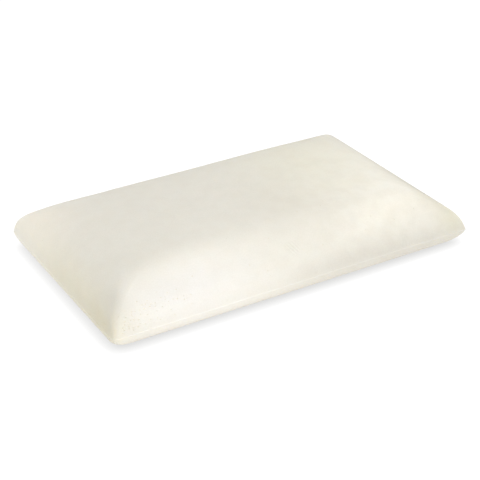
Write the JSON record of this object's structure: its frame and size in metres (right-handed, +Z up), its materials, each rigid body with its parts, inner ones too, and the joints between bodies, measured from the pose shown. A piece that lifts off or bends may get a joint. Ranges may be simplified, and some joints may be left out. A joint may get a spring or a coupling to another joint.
{
  "type": "memory foam pillow",
  "caption": "Bare moulded memory foam pillow: one cream block with a flat base, a parting line low on its sides and a broad crown with softly ridged corners.",
  "frame": {"origin": "middle of the flat base, on the surface that the pillow lies on", "axes": "+X along the pillow's length, +Y across its width, +Z up through the crown"},
  "size_m": [0.7, 0.42, 0.103],
  "materials": {
    "foam": "matt moulded foam skin, cream, with fine pin-hole pores"
  },
  "bodies": {
    "root": {"pillow": "foam"}
  },
  "joints": []
}
